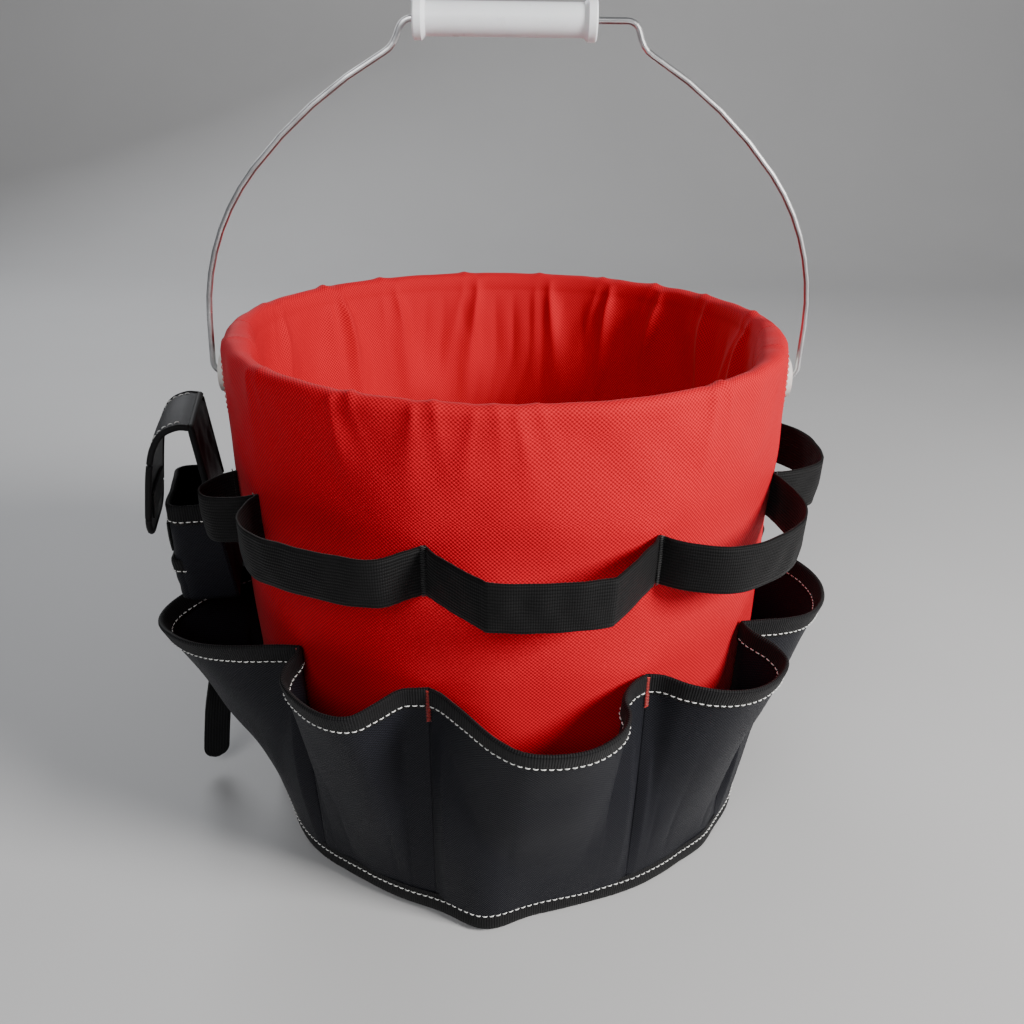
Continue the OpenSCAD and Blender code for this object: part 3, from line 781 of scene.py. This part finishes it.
def make_hem():
    """Tape folded round the lower edge of skirt and pockets, with its stitching."""
    angle = np.linspace(-180, 180, 720, endpoint=False)
    waver = 0.4 * np.sin(np.radians(angle) * 31) + 0.4 * np.sin(np.radians(angle) * 17 + 1)
    profile = [(-1.6, 12.0), (-1.7, 6.0), (-1.6, 3.4), (-0.4, 2.4), (1.2, 2.5), (2.0, 3.6), (2.2, 6.0),
               (2.3, 9.0), (2.3, 12.0), (2.2, 15.2)]
    grid = np.array([polar(base_r(angle, z) + off + 0.2 * waver, angle, z + 0.5 * waver * (z > 3))
                     for off, z in profile])
    uv_u = np.radians(angle) * HEM_TAPE_R * MM
    along = np.concatenate([[0], np.cumsum(np.linalg.norm(np.diff(grid[:, 0], axis=0), axis=1))]) * MM
    uv = np.stack(np.meshgrid(uv_u, along), axis=-1)
    tape = sheet_object("hem_tape", grid, TAPE, uv=uv, wrap=True)
    line = polar(base_r(angle, 12.0) + 2.7 + 0.2 * waver, angle, 12.0 + 0.5 * waver)
    line = np.vstack([line, line[:1]])
    out = polar(1.0, np.append(angle, 180), 0.0)
    sewn = stitches("hem_stitching", line, out, WHITE_THREAD)
    for piece in (tape, sewn):
        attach(piece, "bucket")
    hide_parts("hem_binding")


# ---------- elastic ----------

def make_loop(index):
    """Elastic strap between two anchors, pulled out round the tools it holds."""
    angle, off, size = plan_curve(LOOP_PLANS[index], 90)
    v = np.linspace(0, 1, 12)[:, None]
    z = BAND_Z + BAND_H * v + 0 * angle[None, :]
    # between the sewn ends the strap leans out, cups, wavers and sags a little
    tilt = (v - 0.5) * 1.2 * (off[None, :] > 4)
    curl = 0.5 * np.cos(math.pi * (v - 0.5)) * np.clip(off[None, :] / 12, 0, 1)
    wave = 0.35 * ripples(angle[None, :] / 12, v * 0.6, 80 + index)
    drop = -1.8 * np.clip(off[None, :] / 28, 0, 1)
    # the sewn ends lie on the cover
    anchored = 1.2 * np.exp(-((off[None, :] - 1.0) / 3.0) ** 2)
    grid = polar(skirt_r(z) + 0.6 + off[None, :] - anchored + tilt + curl + wave, angle[None, :], z + drop)
    strap = sheet_object(f"elastic_strap_{index + 1}", grid, ELASTIC, thick=1.1, offset=0)
    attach(strap, "bucket")
    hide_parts(f"elastic_loop_{index + 1}")


def make_tacks():
    """Dense zigzag bar tacks at the pocket dividers and the elastic's anchors."""
    lines, outs = [], []
    for mouth in POCKET_MOUTHS:
        a = mouth[0][0]
        top = HEM_Z + PANEL_LEN + 0.5
        lines.append([polar(skirt_r(z) + 3.3, a, z) for z in (top - TACK_L, top)])
        outs.append(polar(1.0, a, 0.0))
    red = zigzag("pocket_bar_tacks", lines, outs, RED_THREAD, width=2.2)
    lines, outs = [], []
    for a in [plan[0][0] for plan in LOOP_PLANS] + [LOOP_PLANS[-1][-1][0]]:
        lines.append([polar(skirt_r(z) + 2.4, a, z) for z in (BAND_Z - 0.5, BAND_Z + BAND_H + 0.5)])
        outs.append(polar(1.0, a, 0.0))
    black = zigzag("elastic_bar_tacks", lines, outs, BLACK_THREAD, width=2.4)
    for piece, node, slot in ((red, "pocket_bartacks", "red_thread"),
                              (black, "elastic_bartacks", "black_thread")):
        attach(piece, "bucket")
        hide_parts(node)


# ---------- flap pouch ----------

POUCH_FOOT, POUCH_MOUTH, POUCH_TOP = 150.0, 205.0, 247.0
LEAN_FOOT, LEAN_TOP = 156.0, 170.0
POUCH_W, POUCH_D = 62.0, 30.0
HINGE_R, HINGE_Z = 172.5, 249.5


def lean(z):
    """Distance of the pouch's back panel from the pail's axis at height z."""
    return LEAN_FOOT + (LEAN_TOP - LEAN_FOOT) * (z - POUCH_FOOT) / (POUCH_TOP - POUCH_FOOT)


def to_pouch(points):
    """Turns points from the pouch's own axes (outwards, sideways, up) into the frame."""
    a = math.radians(POUCH_ANGLE)
    x, y, z = np.moveaxis(np.asarray(points, float), -1, 0)
    return np.stack([x * math.cos(a) - y * math.sin(a), x * math.sin(a) + y * math.cos(a), z], -1)


def box_plan(depth, width, radius, count):
    """U-shaped plan of a gusseted pocket: side, rounded corner, front, corner, side."""
    line = [(0, -width / 2)]
    for centre, a, b in (((depth - radius, -width / 2 + radius), -90, 0),
                         ((depth - radius, width / 2 - radius), 0, 90)):
        for t in np.radians(np.linspace(a, b, 9)):
            line.append((centre[0] + radius * math.cos(t), centre[1] + radius * math.sin(t)))
    line.append((0, width / 2))
    return resample(np.array(line, float), count)


def gusset_grid(low, high, out_low, out_high, width, radius, back, rows=30, cols=90, puff=1.5, seed=3):
    """Standing cloth wall of a small pocket whose depth changes with height."""
    grid = []
    for t in np.linspace(0, 1, rows):
        z = low + (high - low) * t
        depth = out_low + (out_high - out_low) * t
        plan = box_plan(depth, width, radius, cols)
        x = back(z) + plan[:, 0]
        swell = puff * math.sin(math.pi * t) * np.sin(math.pi * np.linspace(0, 1, cols))
        x = x + swell + 0.4 * ripples(np.linspace(0, 2, cols), np.full(cols, t), seed)
        grid.append(np.stack([x, plan[:, 1], np.full(cols, z)], -1))
    return np.array(grid)


def mouth_tape(name, grid, depth_rows):
    """Binding and stitching along the top edge of a gusseted pocket."""
    normal = normals_of(grid)
    tape = sheet_object(f"{name}_binding", to_pouch(binding_grid(grid, normal, depth_rows)), TAPE, 0.35, 1)
    row = len(grid) - 1 - int(round(depth_rows * 0.7))
    line = to_pouch(grid[row, 1:-1] + normal[row, 1:-1] * 1.35)
    turned = to_pouch(normal[row, 1:-1])
    sewn = stitches(f"{name}_stitching", line, turned, WHITE_THREAD)
    return tape, sewn


def make_pouch():
    """Flap pouch: back panel, gusseted body, small front pocket, foot and loop tape."""
    back_rows = np.linspace(POUCH_FOOT, HINGE_Z, 42)
    side = np.linspace(-POUCH_W / 2, POUCH_W / 2, 40)
    z, y = np.meshgrid(back_rows, side, indexing="ij")
    x = lean(z) + 0.9 + 0.5 * ripples(y / 40, z / 60, 5) * (z < POUCH_TOP) + 1.2 * (z > POUCH_TOP)
    panel = sheet_object("pouch_back_panel", to_pouch(np.stack([x, y, z], -1)), BLACK, 1.4, 0)
    edge = np.array([(lean(h), s, h) for s, h in
                     [(-POUCH_W / 2, POUCH_MOUTH - 4), (-POUCH_W / 2, HINGE_Z), (POUCH_W / 2, HINGE_Z),
                      (POUCH_W / 2, POUCH_MOUTH - 4)]])
    line = resample(edge, 90) + [1.4, 0, 0]
    points, faces = tube(to_pouch(line), 1.8, 10)
    piping = new_object("pouch_back_piping", points, faces, TAPE)
    row = resample(edge * [1, 0.86, 1] - [0, 0, 4], 90) + [2.2, 0, 0]
    facing = np.tile(to_pouch([1.0, 0.0, 0.0]), (len(row), 1))
    back_sewn = stitches("pouch_back_stitching", to_pouch(row), facing, WHITE_THREAD)

    body_grid = gusset_grid(POUCH_FOOT, POUCH_MOUTH, POUCH_D - 2, POUCH_D - 6, POUCH_W, 7,
                            lambda h: lean(h) + 1)
    body = sheet_object("pouch_body_cloth", to_pouch(body_grid), BLACK, 1.2, 0)
    body_tape, body_sewn = mouth_tape("pouch_mouth", body_grid, 5)

    def face(h):
        """Front of the body, where the small pocket is sewn on."""
        return lean(h) + POUCH_D - 7 - 2 * (h - POUCH_FOOT) / (POUCH_MOUTH - POUCH_FOOT)
    small_grid = gusset_grid(POUCH_FOOT, 173, 7.5, 8.2, POUCH_W - 3, 5, face, rows=18, puff=0.8, seed=9)
    small = sheet_object("pouch_front_cloth", to_pouch(small_grid), BLACK, 1.1, 0)
    small_tape, small_sewn = mouth_tape("pouch_front_mouth", small_grid, 5)

    foot = []
    for s in np.linspace(0, 1, 12):
        line = small_grid[0].copy()
        line[:, 0] = lean(POUCH_FOOT) + 1 + (line[:, 0] - lean(POUCH_FOOT) - 1) * (1 - s)
        line[:, 2] = POUCH_FOOT + 0.6
        foot.append(line)
    floor = sheet_object("pouch_foot", to_pouch(np.array(foot)), BLACK, 1.0, 0)

    patch_z, patch_y = np.meshgrid(np.linspace(177, 194, 18), np.linspace(-23, 23, 40), indexing="ij")
    patch_x = np.interp(patch_z, body_grid[:, 45, 2], body_grid[:, 45, 0]) + 1.5
    patch = to_pouch(np.stack([patch_x, patch_y, patch_z], -1))
    loop_patch = sheet_object("pouch_loop_tape", patch, FUZZY, 1.0, 0)

    for piece, slot in ((panel, "pocket_cloth"), (piping, "binding_tape"), (back_sewn, "binding_tape"),
                        (body, "pocket_cloth"), (body_tape, "binding_tape"), (body_sewn, "binding_tape"),
                        (small, "pocket_cloth"), (small_tape, "binding_tape"), (small_sewn, "binding_tape"),
                        (floor, "pocket_cloth"), (loop_patch, "hook_loop")):
        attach(piece, "bucket")
    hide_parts("pouch_back")
    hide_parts("pouch_body")
    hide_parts("pouch_binding")
    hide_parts("pouch_front_pocket")
    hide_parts("pouch_loop_patch")


def flap_line(count):
    """Middle of the flap from its hinge, over the top and down in front."""
    return smooth_line([(HINGE_R, HINGE_Z), (179, 250), (187, 246.5), (192.5, 238), (195.5, 226),
                        (197.5, 212), (199, 199), (199.8, 187.5)], count)


def make_flap():
    """Padded flap of two cloth layers with bound edges, and the hook tape under its end."""
    line = flap_line(70)
    half = (POUCH_W - 2) / 2
    last = len(line) - 1
    size = np.linalg.norm(np.diff(line, axis=0), axis=1).sum()
    along = np.linspace(0, size, len(line))
    corner = 15.0
    back = np.clip(along - (size - corner), 0, corner)
    wide = half - corner + np.sqrt(corner**2 - back**2)
    wide[-1] = half - corner + 0.6
    grid = []
    across = np.linspace(-1, 1, 40)
    tangent = np.gradient(line, axis=0)
    tangent /= np.linalg.norm(tangent, axis=1, keepdims=True)
    outward = np.stack([-tangent[:, 1], tangent[:, 0]], -1)
    for k in range(len(line)):
        crown = 0.9 * (1 - across**2) * math.sin(math.pi * min(1.0, k / last + 0.02))
        rows = line[k] + outward[k] * crown[:, None]
        grid.append(np.stack([rows[:, 0], across * wide[k], rows[:, 1]], -1))
    grid = np.array(grid)
    flap = sheet_object("pouch_flap_cloth", to_pouch(grid), BLACK, 2.2, 0)
    rim = np.vstack([grid[:, 0], grid[-1, 1:-1], grid[::-1, -1]])
    points, faces = tube(to_pouch(resample(rim, 170)), 1.75, 10)
    piping = new_object("pouch_flap_piping", points, faces, TAPE)
    inset = grid * [1, 0.86, 1]
    row = np.vstack([inset[4:-4, 0], inset[-5, 1:-1], inset[4:-4, -1][::-1]])
    lift = np.vstack([outward[4:-4], np.tile(outward[-5], (len(across) - 2, 1)), outward[4:-4][::-1]])
    lift3 = np.stack([lift[:, 0], 0 * lift[:, 0], lift[:, 1]], -1)
    sewn = stitches("pouch_flap_stitching", to_pouch(row + lift3 * 1.45), to_pouch(lift3), WHITE_THREAD)
    under = np.stack([outward[:, 0], 0 * outward[:, 0], outward[:, 1]], -1)[48:62, None] * 1.9
    hook = sheet_object("flap_hook_tape", to_pouch(grid[48:62, 5:-5] - under), FUZZY, 0.9, 0)
    for piece, slot in ((flap, "pocket_cloth"), (piping, "binding_tape"), (sewn, "binding_tape"),
                        (hook, "hook_loop")):
        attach(piece, "flap")
    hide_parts("pouch_flap")
    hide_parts("flap_hook_patch")


def make_strap():
    """Webbing tail that hangs from the pouch, twists as it falls and ends in a rounded tip."""
    line = smooth_line([(172, 150), (173, 125), (175, 98), (178.5, 66), (182, 40), (184.5, 20),
                        (185.5, 9)], 90)
    across = np.linspace(-1, 1, 15)
    length, half_w, side = 147, 8.0, -18
    grid = []
    for k, (x, z) in enumerate(line):
        along = k / (len(line) - 1)
        twist = math.radians(78) * min(1.0, max(0.0, (along - 0.15) / 0.6)) ** 1.5
        left = (1 - along) * length
        half = half_w * math.sqrt(1 - (1 - left / half_w) ** 2) if left < half_w else half_w
        out = across * max(half, 1.2)
        grid.append(np.stack([x + out * math.sin(twist), side + out * math.cos(twist),
                              np.full(len(across), z)], -1))
    strap = sheet_object("side_webbing", to_pouch(np.array(grid)), WEBBING, 1.5, 0)
    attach(strap, "bucket")
    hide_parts("side_strap")


make_cover()
make_slot_hems()
for k in range(len(POCKET_MOUTHS)):
    make_pocket(k)
make_hem()
for k in range(len(LOOP_PLANS)):
    make_loop(k)
make_tacks()
make_pouch()
make_flap()
make_strap()
